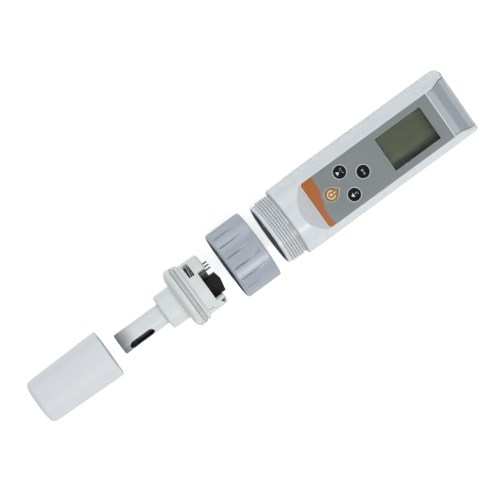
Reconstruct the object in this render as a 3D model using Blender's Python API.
"""Pocket pH test pen, pulled apart along its axis into four groups.

From -X to +X: storage cap, electrode module, locking collar, meter body.
Sizes are in millimetres, in a frame whose X axis is the pen's own axis.
The panel is on the front (+Z); the flat back faces -Z. The empty pen_axis
lifts the axis so that the flat back rests on z = 0.
"""
import math

import bmesh
import bpy
from mathutils import Vector

METRES_PER_MM = 0.001
SMOOTH_ANGLE = 32.0         # edges sharper than this stay hard, degrees

# ------------------------------------------------------ driving dimensions
BODY_X0, BODY_X1 = 25.8, 136.95
BODY_R = 20.0               # front half of the meter body
WALL, END_WALL = 2.0, 2.2
SPLIT_GAP = 0.12            # half the seam between the two shells
NECK_END_CHAMFER = 0.4
END_ROUND = 0.9
BACK_CORNER_START, BACK_CORNER = 19.5, 14.0
BACK_BLEND_X = 48.0         # where the back has become flat

PANEL_Z = 14.1              # the flat on the front
PANEL_WALL = 2.3
RAMP_X0, RAMP_X1 = 32.15, 41.1
SLOPE_X0, SLOPE_X1, SLOPE_Z = 127.1, 132.9, 11.1
KNEE_X, KNEE_SLOPE = 135.0, 1.577
CUT_X1, CUT_TOP = 142.0, 26.0   # cutters run past the body to here
OVERLAY_X0, OVERLAY_X1, OVERLAY_HALF = 41.4, 122.9, 13.8
OVERLAY_TOP, OVERLAY_T, OVERLAY_GAP, RECESS_DEPTH = 14.05, 0.2, 0.15, 0.5
LCD_X0, LCD_X1, LCD_HALF = 87.05, 116.25, 10.05

KEY_R, KEY_HOLE_R, KEY_TOP = 3.4, 3.8, 14.75
KEYS = {"up": (62.2, 7.1), "enter": (72.5, 0.0), "down": (61.8, -7.1)}
POWER_KEY = (51.8, 0.0)
POWER_TIP = 4.5             # reach of the drop-shaped key towards +X
TIP_ROUND = 0.5

# bayonet-and-screw joint between meter and module
PITCH = 1.5
THREAD_TURNS = 5.25
NECK_X0 = 13.9
NECK_ROOT_R, NECK_CREST_R, NECK_BORE_R = 17.55, 18.4, 15.85
NECK_THREAD_X0 = 16.6
COLLAR_THREAD_X0 = NECK_THREAD_X0 + PITCH / 2 - 13 * PITCH
COLLAR_X0, COLLAR_X1, COLLAR_R = -14.2, 7.3, 19.95
COLLAR_MOUTH_R, COLLAR_ROOT_R, COLLAR_CREST_R = 17.8, 18.65, 17.85
LUG_R, LUG_HALF_DEG = 16.25, 14.0
NOTCH_R, NOTCH_HALF_DEG = 16.0, 17.0
LUG_DEG = 152.4             # measured from +Y towards +Z

# electrode module
HUB_X0, HUB_R, HUB_ROUND = -55.4, 10.1, 1.5
FLANGE_X0, FLANGE_X1, FLANGE_R = -44.95, -40.35, 17.4
GASKET_X0, GASKET_X1 = -40.1, -37.8
STEP_X0, STEP_X1 = -37.55, -35.1
SPIGOT_X1, SPIGOT_R, SPIGOT_BORE_R = -23.75, 15.3, 13.5
PROBE_X0, PROBE_X1, PROBE_R, PROBE_BORE_R = -83.4, -50.5, 6.05, 4.9
SLOT_X0, SLOT_X1, SLOT_R, SLOT_DEG = -79.3, -64.1, 2.5, 41.0
BULB_X, BULB_R, BULB_NECK_R = -79.4, 3.6, 1.8

CAP_X0, CAP_X1, CAP_R0, CAP_R1, CAP_ROUND = -135.6, -90.35, 12.75, 13.85, 3.0

# screws, battery and the +X end of the body
SCREWS = [(x, y) for x in (48.0, 112.0) for y in (14.2, -14.2)]
CELL_R, CELL_LENGTH, CELL_X0, CELL_Z, CELL_GAP = 5.8, 5.4, 110.0, -6.0, 0.3
PLATE_HALF, PLATE_Z0 = 12.9, -13.9
PLATE_GAP, PLUG_INSET, SEAL_T = 0.3, 1.2, 0.9

# name: (base colour, roughness, metallic)
FINISHES = {
    "shell_white": ((0.69, 0.73, 0.75), 0.42, 0.0),
    "module_white": ((0.70, 0.74, 0.73), 0.45, 0.0),
    "cap_white": ((0.68, 0.72, 0.74), 0.40, 0.0),
    "collar_grey": ((0.40, 0.44, 0.49), 0.45, 0.0),
    "end_grey": ((0.38, 0.42, 0.46), 0.48, 0.0),
    "overlay_grey": ((0.26, 0.28, 0.29), 0.5, 0.0),
    "gasket_grey": ((0.42, 0.44, 0.43), 0.7, 0.0),
    "seal_black": ((0.03, 0.03, 0.03), 0.6, 0.0),
    "sleeve_grey": ((0.30, 0.31, 0.31), 0.75, 0.0),
    "sponge_cream": ((0.75, 0.68, 0.45), 0.95, 0.0),
    "probe_white": ((0.66, 0.69, 0.71), 0.4, 0.0),
    "stem_dark": ((0.015, 0.015, 0.016), 0.4, 0.0),
    "bulb_glass": ((0.70, 0.76, 0.78), 0.05, 0.0),
    "junction_ceramic": ((0.75, 0.73, 0.68), 0.8, 0.0),
    "board_green": ((0.02, 0.12, 0.05), 0.45, 0.0),
    "chip_black": ((0.02, 0.02, 0.022), 0.5, 0.0),
    "connector_black": ((0.016, 0.016, 0.016), 0.4, 0.0),
    "contact_metal": ((0.65, 0.62, 0.52), 0.3, 1.0),
    "screw_steel": ((0.55, 0.55, 0.56), 0.3, 1.0),
    "key_black": ((0.02, 0.02, 0.022), 0.45, 0.0),
    "key_orange": ((0.42, 0.15, 0.05), 0.5, 0.0),
    "lens_clear": ((0.75, 0.80, 0.78), 0.05, 0.0),
    "lcd_olive": ((0.085, 0.098, 0.070), 0.2, 0.0),
    "frame_black": ((0.03, 0.03, 0.03), 0.5, 0.0),
    "zebra_pink": ((0.45, 0.20, 0.20), 0.8, 0.0),
    "cell_steel": ((0.60, 0.60, 0.60), 0.25, 1.0),
}


# ---------------------------------------------------------- scene helpers
def make_material(name, colour, roughness, metallic):
    material = bpy.data.materials.new(name)
    material.use_nodes = True
    inputs = material.node_tree.nodes["Principled BSDF"].inputs
    inputs["Base Color"].default_value = (*colour, 1.0)
    inputs["Roughness"].default_value = roughness
    inputs["Metallic"].default_value = metallic
    return material


def empty(name, parent=None, place=(0.0, 0.0, 0.0)):
    marker = bpy.data.objects.new(name, None)
    marker.empty_display_size = 0.01
    bpy.context.scene.collection.objects.link(marker)
    marker.parent = parent
    marker.location = [c * METRES_PER_MM for c in place]
    return marker


def origin_in_pen(parent):
    """A parent's origin in the pen's frame, whose root is pen_axis."""
    origin = Vector()
    while parent.parent is not None:
        origin += parent.location / METRES_PER_MM
        parent = parent.parent
    return origin


def finish(name, mesh, parent, material=None):
    """Turn a bmesh drawn in the pen's frame into an object under parent."""
    bmesh.ops.remove_doubles(mesh, verts=mesh.verts, dist=1e-3)
    bmesh.ops.recalc_face_normals(mesh, faces=mesh.faces)
    bmesh.ops.translate(mesh, verts=mesh.verts, vec=-origin_in_pen(parent))
    bmesh.ops.scale(mesh, verts=mesh.verts, vec=[METRES_PER_MM] * 3)
    data = bpy.data.meshes.new(name)
    mesh.to_mesh(data)
    mesh.free()
    piece = bpy.data.objects.new(name, data)
    bpy.context.scene.collection.objects.link(piece)
    piece.parent = parent
    data.shade_smooth()
    data.set_sharp_from_angle(angle=math.radians(SMOOTH_ANGLE))
    if material:
        data.materials.append(MATERIALS[material])
    return piece


def boolean(kind, target, others):
    for other in others:
        modifier = target.modifiers.new(kind.lower() + "_" + other.name, "BOOLEAN")
        modifier.operation = kind
        modifier.solver = "EXACT"
        modifier.object = other
        other.hide_render = True
        other.display_type = "WIRE"


def cut(target, *others):
    boolean("DIFFERENCE", target, others)


def join(target, *others):
    boolean("UNION", target, others)


def intersect(target, *others):
    boolean("INTERSECT", target, others)


# ------------------------------------------------- outlines (lists of pairs)
def circle(x, y, radius, sides):
    turns = [2 * math.pi * i / sides for i in range(sides)]
    return [(x + radius * math.cos(a), y + radius * math.sin(a)) for a in turns]


def arc(x, y, radius, start_deg, end_deg, steps):
    turns = [math.radians(start_deg + (end_deg - start_deg) * i / steps)
             for i in range(steps + 1)]
    return [(x + radius * math.cos(a), y + radius * math.sin(a)) for a in turns]


def rounded_rect(x0, x1, half, radius):
    """Rectangle centred on the X axis, with four steps to each corner."""
    left, right, side = x0 + radius, x1 - radius, half - radius
    return (arc(right, side, radius, 0, 90, 4) + arc(left, side, radius, 90, 180, 4)
            + arc(left, -side, radius, 180, 270, 4) + arc(right, -side, radius, 270, 360, 4))


def drop_outline(x, y, radius, tip, steps):
    """A circle drawn out to a blunt point, tip away towards +X."""
    reach = tip - TIP_ROUND
    touch = math.degrees(math.acos((radius - TIP_ROUND) / reach))
    return (arc(x, y, radius, touch, 360 - touch, steps)
            + arc(x + reach, y, TIP_ROUND, -touch, touch, 4))


def sector(inner, outer, centre_deg, half_deg, steps):
    """Ring sector in the YZ plane, or a pie slice if inner is 0; angles from +Y towards +Z."""
    start, end = centre_deg - half_deg, centre_deg + half_deg
    rim = arc(0, 0, outer, start, end, steps)
    if inner == 0:
        return rim + [(0.0, 0.0)]
    return rim + arc(0, 0, inner, end, start, steps)


def taper_plan(x0, half0, x1, half1):
    """Plan that widens from half0 to half1 along the end slope."""
    side = [(x0, half0), (SLOPE_X0, half0), (SLOPE_X1, half1), (x1, half1)]
    return side + [(x, -y) for x, y in reversed(side)]


# ------------------------------------------------- lofts (lists of 3D rings)
def ring_x(outline, x):
    return [(x, y, z) for y, z in outline]


def ring_z(outline, z):
    return [(x, y, z) for x, y in outline]


def prism_x(outline, x):
    return [ring_x(outline, end) for end in x]


def prism_y(outline, half):
    return [[(x, y, z) for x, z in outline] for y in (-half, half)]


def prism_z(outline, z):
    return [ring_z(outline, end) for end in z]


def box(x, y, z):
    return prism_z([(x[0], y[0]), (x[1], y[0]), (x[1], y[1]), (x[0], y[1])], z)


def span(centre, half):
    return (centre - half, centre + half)


def post(x, y, steps, sides):
    """Round post along Z through (radius, z) steps."""
    return [ring_z(circle(x, y, radius, sides), z) for radius, z in steps]


def screw_posts(steps, sides):
    return [post(x, y, steps, sides) for x, y in SCREWS]


def lug_sectors(inner, outer, half_deg, steps, x):
    """Two opposite sectors at the bayonet lugs' places."""
    return [prism_x(sector(inner, outer, a, half_deg, steps), x)
            for a in (LUG_DEG, LUG_DEG + 180)]


def lcd_box(margin, half, z):
    """Box that stands margin past both X ends of the display window."""
    return box(x=(LCD_X0 - margin, LCD_X1 + margin), y=(-half, half), z=z)


# ---------------------------------------------------------- piece builders
def bridge(mesh, rows):
    """Side faces between successive closed rows of vertices."""
    count = len(rows[0])
    for row, after in zip(rows, rows[1:]):
        for i in range(count):
            j = (i + 1) % count
            mesh.faces.new((row[i], row[j], after[j], after[i]))


def solid(name, parent, *lofts, material=None, bevel=0.0):
    """One object from closed lofts; bevel takes off every edge."""
    mesh = bmesh.new()
    for rings in lofts:
        rows = [[mesh.verts.new(point) for point in ring] for ring in rings]
        bridge(mesh, rows)
        mesh.faces.new(rows[0])
        mesh.faces.new(rows[-1])
    if bevel:
        # The bevel needs consistently wound faces.
        bmesh.ops.recalc_face_normals(mesh, faces=mesh.faces)
        bmesh.ops.bevel(mesh, geom=mesh.edges[:], offset=bevel, segments=1,
                        profile=0.5, affect="EDGES")
    return finish(name, mesh, parent, material)


def turned(name, parent, profile, sides, material=None, lift=0.0):
    """Spin a closed (x, radius) profile round the pen axis, then raise it by lift."""
    mesh = bmesh.new()
    verts = [mesh.verts.new((x, radius, 0.0)) for x, radius in profile]
    edges = [mesh.edges.new(pair) for pair in zip(verts, verts[1:] + verts[:1])
             if any(vert.co.y != 0.0 for vert in pair)]
    bmesh.ops.spin(mesh, geom=verts + edges, angle=2 * math.pi, steps=sides,
                   axis=(1, 0, 0), cent=(0, 0, 0))
    bmesh.ops.translate(mesh, verts=mesh.verts, vec=(0, 0, lift))
    return finish(name, mesh, parent, material)


def threaded_ring(name, parent, wall_x, thread_x0, root, crest, half_root, half_crest,
                  rest, sides, material=None):
    """A turned ring whose wall along wall_x carries one right-handed ridge.

    The ridge is a trapezoid swept along x = thread_x0 + PITCH * turns, with
    blunt ends; rest is the (x, radius) path from the wall's far end back to
    its near end, round the other side of the ring.
    """
    mesh = bmesh.new()

    def vertex(x, radius, i):
        a = 2 * math.pi * i / sides
        return mesh.verts.new((x, radius * math.cos(a), radius * math.sin(a)))

    section = ((-half_root, root), (-half_crest, crest), (half_crest, crest), (half_root, root))
    total = round(THREAD_TURNS * sides)
    ridge = [[vertex(thread_x0 + PITCH * i / sides + dx, radius, i) for dx, radius in section]
             for i in range(total + 1)]
    for here, after in zip(ridge, ridge[1:]):
        for k in range(3):
            mesh.faces.new((here[k], here[k + 1], after[k + 1], after[k]))
    # root strip between one turn and the next
    last = total - sides
    for i in range(last):
        mesh.faces.new((ridge[i][3], ridge[i + sides][0],
                        ridge[i + sides + 1][0], ridge[i + 1][3]))
    # wall ends; one face at each end also takes in the ridge's blunt end
    near, far = [[vertex(x, root, i) for i in range(sides)] for x in wall_x]
    for i in range(sides - 1):
        mesh.faces.new((near[i], ridge[i][0], ridge[i + 1][0], near[i + 1]))
    mesh.faces.new((near[-1], ridge[sides - 1][0], ridge[sides][0],
                    ridge[0][3], ridge[0][0], near[0]))
    mesh.faces.new((far[last % sides], ridge[total][3], ridge[total][0], ridge[last][3],
                    ridge[last + 1][3], far[(last + 1) % sides]))
    for i in range(last + 1, total):
        mesh.faces.new((far[i % sides], ridge[i][3], ridge[i + 1][3], far[(i + 1) % sides]))
    mesh.faces.new(ridge[0])
    mesh.faces.new(ridge[total])
    round_back = [[vertex(x, radius, i) for i in range(sides)] for x, radius in rest]
    bridge(mesh, [far] + round_back + [near])
    return finish(name, mesh, parent, material)


# ------------------------------------------------------------- body shape
def end_inset(x):
    """How far the body's skin turns in near its two ends."""
    if x < BODY_X0 + NECK_END_CHAMFER:
        return BODY_X0 + NECK_END_CHAMFER - x
    into_round = x - (BODY_X1 - END_ROUND)
    if into_round > 0:
        return END_ROUND - math.sqrt(max(END_ROUND ** 2 - into_round ** 2, 0.0))
    return 0.0


def body_stations(*middle):
    """X places of the body's sections, from the neck end to the rounded end."""
    end = [BODY_X1 - END_ROUND + END_ROUND * math.sin(math.radians(a)) for a in (0, 30, 60, 90)]
    return [BODY_X0, BODY_X0 + NECK_END_CHAMFER, *middle, *end]


def front_section(x, inset, low):
    """Round front half of the body, cut off at z = low."""
    radius = BODY_R - inset
    start = math.degrees(math.asin(low / radius))
    return ring_x(arc(0, 0, radius, start, 180 - start, 30), x)


def back_section(x, inset, top):
    """Rear half of the body: round at the neck, flat-backed further along."""
    half = BODY_R - inset
    t = min(max((x - BODY_X0) / (BACK_BLEND_X - BODY_X0), 0.0), 1.0)
    blend = t * t * (3 - 2 * t)
    corner = BACK_CORNER_START + (BACK_CORNER - BACK_CORNER_START) * blend - inset
    side = half - corner
    return ring_x([(half, top)] + arc(side, -side, corner, 0, -90, 7)
                  + arc(-side, -side, corner, -90, -180, 7) + [(-half, top)], x)


def panel_profile(drop, grow):
    """XZ outline of what is cut off the round front: ramp, flat, end slope."""
    z = PANEL_Z - drop
    knee_z = SLOPE_Z - drop
    ramp_slope = (BODY_R - PANEL_Z) / (RAMP_X1 - RAMP_X0)
    ramp_x1 = RAMP_X1 + grow
    return [(ramp_x1 - (CUT_TOP - z) / ramp_slope, CUT_TOP), (ramp_x1, z),
            (SLOPE_X0 - grow, z), (SLOPE_X1 - grow, knee_z), (KNEE_X, knee_z),
            (CUT_X1, knee_z - KNEE_SLOPE * (CUT_X1 - KNEE_X)), (CUT_X1, CUT_TOP)]


def fascia_openings(name, gap, hole_radius, tip, z):
    """Cutter for the display window and the four key holes."""
    return solid(name, METER, lcd_box(gap, LCD_HALF + gap, z),
                 *[prism_z(circle(x, y, hole_radius, 18), z) for x, y in KEYS.values()],
                 prism_z(drop_outline(*POWER_KEY, hole_radius, tip, 20), z))


# ------------------------------------------------------------------ start
for old in list(bpy.data.objects):
    bpy.data.objects.remove(old, do_unlink=True)

MATERIALS = {name: make_material(name, *values) for name, values in FINISHES.items()}

# The middle of the laid-out set lies over the world origin.
AXIS = empty("pen_axis", place=(-(CAP_X0 + BODY_X1) / 2, 0, BODY_R))
METER = empty("meter", AXIS)

# --------------------------------------------------------- front housing
housing_front = solid(
    "housing_front", METER,
    [front_section(x, end_inset(x), SPLIT_GAP) for x in body_stations(60.0, 95.0)],
    material="shell_white")

# The hollow keeps a wall under the panel.
front_hollow = solid("front_hollow", METER,
                     [front_section(x, WALL, -4.0) for x in (20.0, 80.0, BODY_X1 - END_WALL)])
hollow_lid = solid("hollow_lid", METER, prism_y(panel_profile(PANEL_WALL, 0.6), half=24))
cut(front_hollow, hollow_lid)

panel_cut = solid("panel_cut", METER, prism_y(panel_profile(0.0, 0.0), half=25))
overlay_recess = solid(
    "overlay_recess", METER,
    prism_z(rounded_rect(OVERLAY_X0 - OVERLAY_GAP, OVERLAY_X1 + OVERLAY_GAP,
                         OVERLAY_HALF + OVERLAY_GAP, radius=1.6),
            z=(PANEL_Z - RECESS_DEPTH, 17.0)))
front_openings = fascia_openings("front_openings", gap=0.3, hole_radius=KEY_HOLE_R,
                                 tip=POWER_TIP + 0.6, z=(9.0, 18.0))
cap_pocket = solid("cap_pocket", METER,
                   prism_z(taper_plan(123.6, 13.6, CUT_X1, 15.3), z=(6.9, 22.0)))
end_opening = solid("end_opening", METER,
                    box(x=(133.0, CUT_X1), y=span(0, PLATE_HALF + PLATE_GAP),
                        z=(PLATE_Z0 - PLATE_GAP, 11.0)))
front_bosses = solid("front_bosses", METER, *screw_posts([(2.5, 0.4), (2.5, 10.2)], sides=16))
pilot_holes = solid("pilot_holes", METER, *screw_posts([(1.35, -1.0), (1.35, 7.0)], sides=12))

cut(housing_front, front_hollow, panel_cut, overlay_recess, front_openings, cap_pocket,
    end_opening)
join(housing_front, front_bosses)
cut(housing_front, pilot_holes)

# ---------------------------------------------------------- rear housing
housing_rear = solid(
    "housing_rear", METER,
    [back_section(x, end_inset(x), -SPLIT_GAP)
     for x in body_stations(30.0, 34.0, 38.0, 42.0, BACK_BLEND_X, 92.0)],
    material="shell_white")
hollow_stations = (BODY_X0 + WALL, 31.0, 35.0, 39.0, 43.0, BACK_BLEND_X, BODY_X1 - END_WALL)
rear_hollow = solid("rear_hollow", METER, [back_section(x, WALL, 4.0) for x in hollow_stations])

neck = threaded_ring(
    "neck", METER, wall_x=(NECK_X0 + 0.5, 25.5), thread_x0=NECK_THREAD_X0,
    root=NECK_ROOT_R, crest=NECK_CREST_R, half_root=0.54, half_crest=0.33,
    rest=[(29.5, NECK_ROOT_R), (29.5, NECK_BORE_R), (NECK_X0 + 1.1, NECK_BORE_R),
          (NECK_X0, 16.6), (NECK_X0, 17.15)],
    sides=36)

# Bosses are trimmed to just inside the outer skin.
rear_bosses = solid("rear_bosses", METER, *screw_posts([(3.3, -18.8), (3.3, -1.0)], sides=16))
boss_bound = solid("boss_bound", METER,
                   [back_section(x, 0.6, 0.0) for x in (40.0, 44.0, BACK_BLEND_X, 120.0)])
intersect(rear_bosses, boss_bound)

rear_screw_holes = solid(
    "rear_screw_holes", METER,
    *screw_posts([(2.4, -21.0), (2.4, -5.5), (1.4, -5.5), (1.4, 1.0)], sides=12))
neck_clear = turned("neck_clear", METER,
                    [(25.1, 0.0), (25.1, 16.1), (31.0, 16.1), (31.0, 0.0)], 36)

cut(housing_rear, rear_hollow)
join(housing_rear, rear_bosses)
cut(housing_rear, rear_screw_holes, end_opening)
join(housing_rear, neck)
cut(housing_rear, neck_clear)

for side, letter in ((1, "a"), (-1, "b")):
    solid("seam_seal_" + letter, METER,
          box(x=(31.0, 134.0), y=span(side * 17.3, 0.3), z=(-0.7, 0.7)), material="seal_black")

for i, (x, y) in enumerate(SCREWS, start=1):
    screw_axis = empty(f"housing_screw_{i}_axis", METER, (x, y, 0.0))
    solid(f"housing_screw_{i}", screw_axis,
          post(x, y, [(2.1, -7.4), (2.1, -6.3), (1.15, -5.8), (1.15, 5.6)], sides=14),
          material="screw_steel")

# ----------------------------------------------------- fascia and display
fascia_overlay = solid(
    "fascia_overlay", METER,
    prism_z(rounded_rect(OVERLAY_X0, OVERLAY_X1, OVERLAY_HALF, radius=1.5),
            z=(OVERLAY_TOP - OVERLAY_T, OVERLAY_TOP)),
    material="overlay_grey")
cut(fascia_overlay, fascia_openings("overlay_openings", gap=0.15, hole_radius=KEY_HOLE_R - 0.05,
                                    tip=POWER_TIP + 0.5, z=(9.5, 17.0)))

solid("display_lens", METER, lcd_box(-0.1, LCD_HALF - 0.1, z=(12.4, 13.95)),
      material="lens_clear")
solid("lcd_glass", METER, lcd_box(2.0, 10.9, z=(9.6, 11.4)), material="lcd_olive")

FRAME_Z = (8.0, 9.3)
lcd_frame = solid("lcd_frame", METER, lcd_box(2.6, 11.3, z=FRAME_Z), material="frame_black")
cut(lcd_frame, solid("lcd_frame_open", METER, lcd_box(0.2, 10.6, z=(7.0, 10.0))))
for side, letter in ((1, "a"), (-1, "b")):
    solid("zebra_strip_" + letter, METER,
          box(x=(LCD_X0 + 0.6, LCD_X1 - 0.6), y=span(side * 9.7, 0.6), z=FRAME_Z),
          material="zebra_pink")


# ------------------------------------------------------ keys and switches
def make_key(name, x, y, outline, flange_radius, material):
    """A key cap: shaped top, retaining flange below the wall, centre stem."""
    guide = empty(name + "_guide", METER, (x, y, 0.0))
    lip = [(x + (px - x) * 0.9, y + (py - y) * 0.9) for px, py in outline]
    body = solid(name, guide, post(x, y, [(flange_radius, 11.0), (flange_radius, 11.5)], 16),
                 material=material)
    top = solid(name + "_top", guide,
                [ring_z(outline, 11.25), ring_z(outline, KEY_TOP - 0.25), ring_z(lip, KEY_TOP)])
    stem = solid(name + "_stem", guide, post(x, y, [(1.2, 10.6), (1.2, 11.3)], 12))
    join(body, top, stem)


for name, (x, y) in KEYS.items():
    make_key("key_" + name, x, y, circle(x, y, KEY_R, 18), 4.3, "key_black")
make_key("key_power", *POWER_KEY, drop_outline(*POWER_KEY, KEY_R, POWER_TIP, 18), 4.4,
         "key_orange")

for name, (x, y) in {**KEYS, "power": POWER_KEY}.items():
    switch = solid("switch_" + name, METER, box(x=span(x, 3), y=span(y, 3), z=(8.0, 9.4)),
                   material="chip_black")
    join(switch, solid("plunger_" + name, METER, post(x, y, [(1.5, 9.0), (1.5, 9.95)], 12)))

# --------------------------------------------------- main board, contacts
solid("main_board", METER, box(x=(38.0, 119.8), y=(-11.4, 11.4), z=(6.1, 7.7)),
      material="board_green")
solid("main_chip", METER, box(x=(76.0, 86.0), y=(-5.0, 5.0), z=(4.5, 5.8)),
      material="chip_black", bevel=0.15)
solid("neck_contact_block", METER, box(x=(29.7, 32.7), y=(-8.8, 2.0), z=(-3.0, 5.5)),
      material="connector_black", bevel=0.3)

TOOTH_Y0, TOOTH_PITCH, TOOTH_COUNT = -7.4, 2.6, 4
neck_contact_comb = solid("neck_contact_comb", METER,
                          box(x=(33.0, 33.8), y=(-8.2, 1.4), z=(-2.5, 5.6)),
                          material="contact_metal")
join(neck_contact_comb, solid(
    "comb_teeth", METER,
    *[box(x=(33.4, 40.0), y=span(TOOTH_Y0 + TOOTH_PITCH * i, 0.5), z=(5.0, 5.5))
      for i in range(TOOTH_COUNT)]))

battery_contact_inner = solid("battery_contact_inner", METER,
                              box(x=(107.2, 107.7), y=(-3.4, 3.4), z=(-10.0, 5.8)),
                              material="contact_metal")
join(battery_contact_inner, solid(
    "contact_bump", METER, prism_x(circle(0.0, CELL_Z, 1.8, 14), x=(107.45, 109.6))))

# --------------------------------------------------------- battery drawer
DRAWER = empty("battery_drawer", METER, (BODY_X1, 0.0, CELL_Z))

# (x, z) side view of the cap: along the top, over the ridge, back underneath
CAP_SIDE = [
    (123.85, 14.05), (SLOPE_X0, 14.05), (SLOPE_X1 - 0.1, SLOPE_Z),
    (133.3, SLOPE_Z + 0.6), (134.0, SLOPE_Z + 0.9), (134.6, SLOPE_Z + 0.7),
    (135.1, SLOPE_Z), (136.8, 8.2), (136.8, 7.2), (134.2, 7.2), (132.6, 9.1),
    (126.9, 12.05), (123.85, 12.05)]
battery_cap = solid("battery_cap", DRAWER, prism_y(CAP_SIDE, half=15.05), material="end_grey")
cap_plan = solid("cap_plan", DRAWER,
                 prism_z(taper_plan(121.0, 13.35, 138.0, 15.0), z=(5.0, 18.0)))
cap_plate = solid("cap_plate", DRAWER,
                  box(x=(135.7, 136.75), y=span(0, PLATE_HALF), z=(PLATE_Z0, 7.6)))
cap_plug = solid("cap_plug", DRAWER,
                 box(x=(133.5, 136.2), y=span(0, PLATE_HALF - PLUG_INSET),
                     z=(PLATE_Z0 + PLUG_INSET, 8.0)))
cap_tray = solid("cap_tray", DRAWER,
                 prism_x(arc(0, CELL_Z, 7.2, 175, 365, 16) + arc(0, CELL_Z, 6.2, 365, 175, 16),
                         x=(109.0, 133.8)))
intersect(battery_cap, cap_plan)
join(battery_cap, cap_plate, cap_plug, cap_tray)

# U-shaped seal, open at the top
SEAL_TOP = 6.8
seal_outer = [(PLATE_HALF, SEAL_TOP), (PLATE_HALF, PLATE_Z0),
              (-PLATE_HALF, PLATE_Z0), (-PLATE_HALF, SEAL_TOP)]
seal_half, seal_z0 = PLATE_HALF - SEAL_T, PLATE_Z0 + SEAL_T
seal_inner = [(-seal_half, SEAL_TOP), (-seal_half, seal_z0),
              (seal_half, seal_z0), (seal_half, SEAL_TOP)]
solid("battery_seal", DRAWER, prism_x(seal_outer + seal_inner, x=(134.1, 135.4)),
      material="seal_black")

for i in range(4):
    x = CELL_X0 + i * (CELL_LENGTH + CELL_GAP)
    turned(f"button_cell_{i + 1}", DRAWER,
           [(x, 0.0), (x, 4.7), (x + 0.5, 4.9), (x + 0.5, CELL_R),
            (x + CELL_LENGTH, CELL_R), (x + CELL_LENGTH, 0.0)],
           20, "cell_steel", lift=CELL_Z)
solid("battery_contact_outer", DRAWER, prism_x(circle(0.0, CELL_Z, 4.2, 20), x=(132.75, 133.25)),
      material="contact_metal")

# --------------------------------------------------------- locking collar
CARRIAGE = empty("collar_carriage", METER)
COLLAR = empty("collar_turn", CARRIAGE)

lock_collar = threaded_ring(
    "lock_collar", COLLAR, wall_x=(-8.0, 6.2), thread_x0=COLLAR_THREAD_X0,
    root=COLLAR_ROOT_R, crest=COLLAR_CREST_R, half_root=0.30, half_crest=0.12,
    rest=[(COLLAR_X1 - 0.95, COLLAR_ROOT_R), (COLLAR_X1, 19.0), (COLLAR_X1, 19.45),
          (COLLAR_X1 - 0.5, COLLAR_R), (COLLAR_X0 + 1.3, COLLAR_R), (COLLAR_X0 + 0.4, 19.5),
          (COLLAR_X0, 18.7), (COLLAR_X0, COLLAR_MOUTH_R + 0.1),
          (COLLAR_X0 + 0.1, COLLAR_MOUTH_R), (-11.7, COLLAR_MOUTH_R), (-11.7, COLLAR_ROOT_R)],
    sides=32, material="collar_grey")
join(lock_collar, solid("collar_lugs", COLLAR,
                        *lug_sectors(LUG_R, 18.2, LUG_HALF_DEG, 8,
                                     x=(COLLAR_X0 + 0.1, COLLAR_X0 + 1.05))))

GROOVE_COUNT, GROOVE_PHASE = 18, 93.4
GROOVE_FLOOR = ((-12.3, 20.1), (-11.2, 19.42), (3.6, 20.05))    # (x, radius)
GROOVE_DEEPEST, GROOVE_OUTER = 19.42, 20.9


def groove(turn_deg):
    """Triangular groove cutter whose floor rises out of the grip at both ends."""
    cosine, sine = math.cos(math.radians(turn_deg)), math.sin(math.radians(turn_deg))
    rings = []
    for x, floor in GROOVE_FLOOR:
        width = 0.55 + (floor - GROOVE_DEEPEST) * 0.2
        corners = ((floor, 0.0), (GROOVE_OUTER, width), (GROOVE_OUTER, -width))
        rings.append([(x, out * cosine - side * sine, out * sine + side * cosine)
                      for out, side in corners])
    return rings


cut(lock_collar, solid("collar_grooves", COLLAR,
                       *[groove(GROOVE_PHASE + 360.0 * k / GROOVE_COUNT)
                         for k in range(GROOVE_COUNT)]))

slip_ring_r = COLLAR_MOUTH_R + 0.05
turned("collar_slip_ring", CARRIAGE,
       [(-11.3, slip_ring_r), (-11.3, 18.4), (-9.3, 18.4), (-9.3, slip_ring_r)],
       36, "seal_black")

# ------------------------------------------------- electrode module housing
MODULE = empty("electrode_module", METER)

# (x, radius): hub, flange, step and spigot outside, then back along the bore
MODULE_PROFILE = [
    (HUB_X0, PROBE_R + 0.3),
    *arc(HUB_X0 + HUB_ROUND, HUB_R - HUB_ROUND, HUB_ROUND, 180, 90, 2),
    (FLANGE_X0, HUB_R), (FLANGE_X0, 12.4), (FLANGE_X0 + 0.4, 14.2), (FLANGE_X0 + 1.0, 15.8),
    (FLANGE_X0 + 1.8, 16.9), (FLANGE_X0 + 2.8, FLANGE_R), (FLANGE_X1, FLANGE_R),
    (FLANGE_X1, SPIGOT_R), (STEP_X0, SPIGOT_R), (STEP_X0, 17.0), (STEP_X0 + 0.5, 17.1),
    (STEP_X1 - 0.6, 16.2), (STEP_X1, SPIGOT_R), (SPIGOT_X1 - 1.6, SPIGOT_R),
    (SPIGOT_X1 - 0.5, 14.95), (SPIGOT_X1, 14.3), (SPIGOT_X1, SPIGOT_BORE_R),
    (-40.5, SPIGOT_BORE_R), (-40.5, 4.6), (-50.0, 4.6), (-50.0, PROBE_R + 0.3)]
module_housing = turned("module_housing", MODULE, MODULE_PROFILE, 48, "module_white")

spigot_window = solid("spigot_window", MODULE,
                      prism_x(sector(0, 20, 92.4, 36.0, 12), x=(-28.7, -20.0)))
spigot_window_deep = solid("spigot_window_deep", MODULE,
                           prism_x(sector(11, 20, 37.4, 20.0, 6), x=(-33.6, -30.3)))
flange_notches = solid("flange_notches", MODULE,
                       *lug_sectors(NOTCH_R, 21, NOTCH_HALF_DEG, 6, x=(-47.0, -34.0)))
cut(module_housing, spigot_window, spigot_window_deep, flange_notches)

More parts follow.
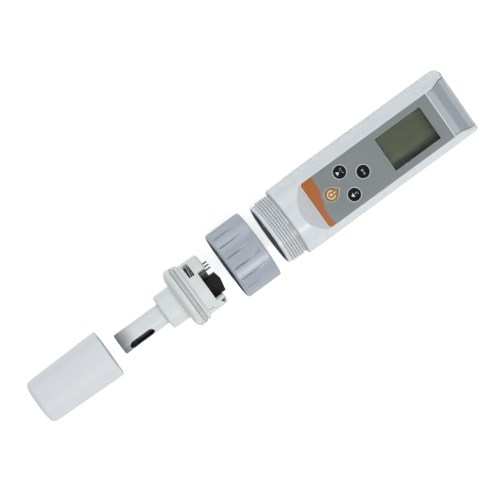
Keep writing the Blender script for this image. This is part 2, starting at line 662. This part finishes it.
flange_gasket = turned(
    "flange_gasket", MODULE,
    [(GASKET_X0, SPIGOT_R + 0.3), (GASKET_X0, FLANGE_R - 0.1), (GASKET_X0 + 0.5, FLANGE_R - 0.1),
     (GASKET_X0 + 1.2, FLANGE_R - 0.3), (GASKET_X1, FLANGE_R - 0.7), (GASKET_X1, SPIGOT_R + 0.3)],
    48, "gasket_grey")
cut(flange_gasket, solid("gasket_notches", MODULE,
                         *lug_sectors(NOTCH_R, 21, NOTCH_HALF_DEG, 6, x=(-41.0, -37.0))))

# ------------------------------------------------------------------ probe
probe_tube = turned(
    "probe_tube", MODULE,
    [(PROBE_X0, PROBE_BORE_R), (PROBE_X0, PROBE_R - 0.5), (PROBE_X0 + 0.5, PROBE_R),
     (PROBE_X1, PROBE_R), (PROBE_X1, PROBE_BORE_R)],
    32, "probe_white")
slot_outline = (arc(SLOT_X1 - SLOT_R, 0, SLOT_R, -90, 90, 10)
                + arc(SLOT_X0 + SLOT_R, 0, SLOT_R, 90, 270, 10))
for name, turn_deg in (("slot_a", SLOT_DEG), ("slot_b", SLOT_DEG + 180)):
    slot = solid(name, MODULE, prism_z(slot_outline, z=(2.0, 9.0)))
    slot.rotation_euler = (math.radians(turn_deg), 0, 0)
    cut(probe_tube, slot)

turned("electrode_stem", MODULE,
       [(-38.0, 0.0), (-38.0, 4.3), (-74.2, 4.3), (-74.6, 3.9), (-74.6, 2.2), (-64.0, 2.2),
        (-64.0, 0.0)],
       24, "stem_dark")
# The ball runs from its pole to where it meets the glass neck.
neck_deg = math.degrees(math.asin(BULB_NECK_R / BULB_R))
turned("glass_bulb", MODULE,
       [(BULB_X - BULB_R, 0.0), *arc(BULB_X, 0, BULB_R, 180, neck_deg, 7)[1:],
        (-64.4, BULB_NECK_R), (-64.4, 0.0)],
       20, "bulb_glass")
turned("reference_junction", MODULE,
       [(-75.9, 2.3), (-75.9, 4.5), (-74.9, 4.5), (-74.9, 2.3)], 20, "junction_ceramic")

# ----------------------------------------------------------- module board
turned("module_board", MODULE, [(-33.0, 0.0), (-33.0, 12.9), (-31.4, 12.9), (-31.4, 0.0)],
       36, "board_green")
solid("board_chip", MODULE, box(x=(-31.1, -29.6), y=(3.5, 7.5), z=(6.2, 10.2)),
      material="chip_black", bevel=0.1)
solid("board_capacitor", MODULE, prism_x(circle(9.8, 5.6, 1.4, 16), x=(-31.1, -28.9)),
      material="chip_black")
SOCKET_PLAN = [(-31.0, -8.8), (-21.5, -8.8), (-20.15, -1.9), (-20.95, 1.8), (-31.0, 1.8)]  # (x, y)
solid("socket_connector", MODULE, prism_z(SOCKET_PLAN, z=(-3.0, 5.5)),
      material="connector_black")

PIN_Y, PIN_Z, PIN_HALF = (5.2, 7.0, 8.8), (-1.2, 1.2), 0.32
pin_header = solid("pin_header", MODULE, box(x=(-31.0, -24.6), y=(4.2, 10.0), z=(-2.6, 2.6)),
                   material="connector_black")
join(pin_header, solid("header_pins", MODULE,
                       *[box(x=(-25.2, -20.8), y=span(y, PIN_HALF), z=span(z, PIN_HALF))
                         for y in PIN_Y for z in PIN_Z]))

# ------------------------------------------------------------ storage cap
CAP = empty("storage_cap", MODULE)
turned(
    "cap_shell", CAP,
    [(CAP_X0, 0.0), *arc(CAP_X0 + CAP_ROUND, CAP_R0 - CAP_ROUND, CAP_ROUND, 180, 90, 4),
     (CAP_X1 - 0.35, CAP_R1), (CAP_X1, CAP_R1 - 0.35), (CAP_X1, 12.4), (CAP_X1 - 0.6, 11.9),
     (-103.0, 11.9), (-103.0, 10.7), (-133.55, 10.6), (-133.55, 0.0)],
    44, "cap_white")
turned("cap_seal_sleeve", CAP,
       [(-102.6, 10.5), (-102.6, 11.6), (-94.0, 11.6), (-94.0, 10.8), (-94.6, 10.4),
        (-102.0, 10.4)],
       32, "sleeve_grey")
turned("cap_sponge", CAP, [(-133.15, 0.0), (-133.15, 10.1), (-129.2, 10.1), (-129.2, 0.0)],
       28, "sponge_cream")
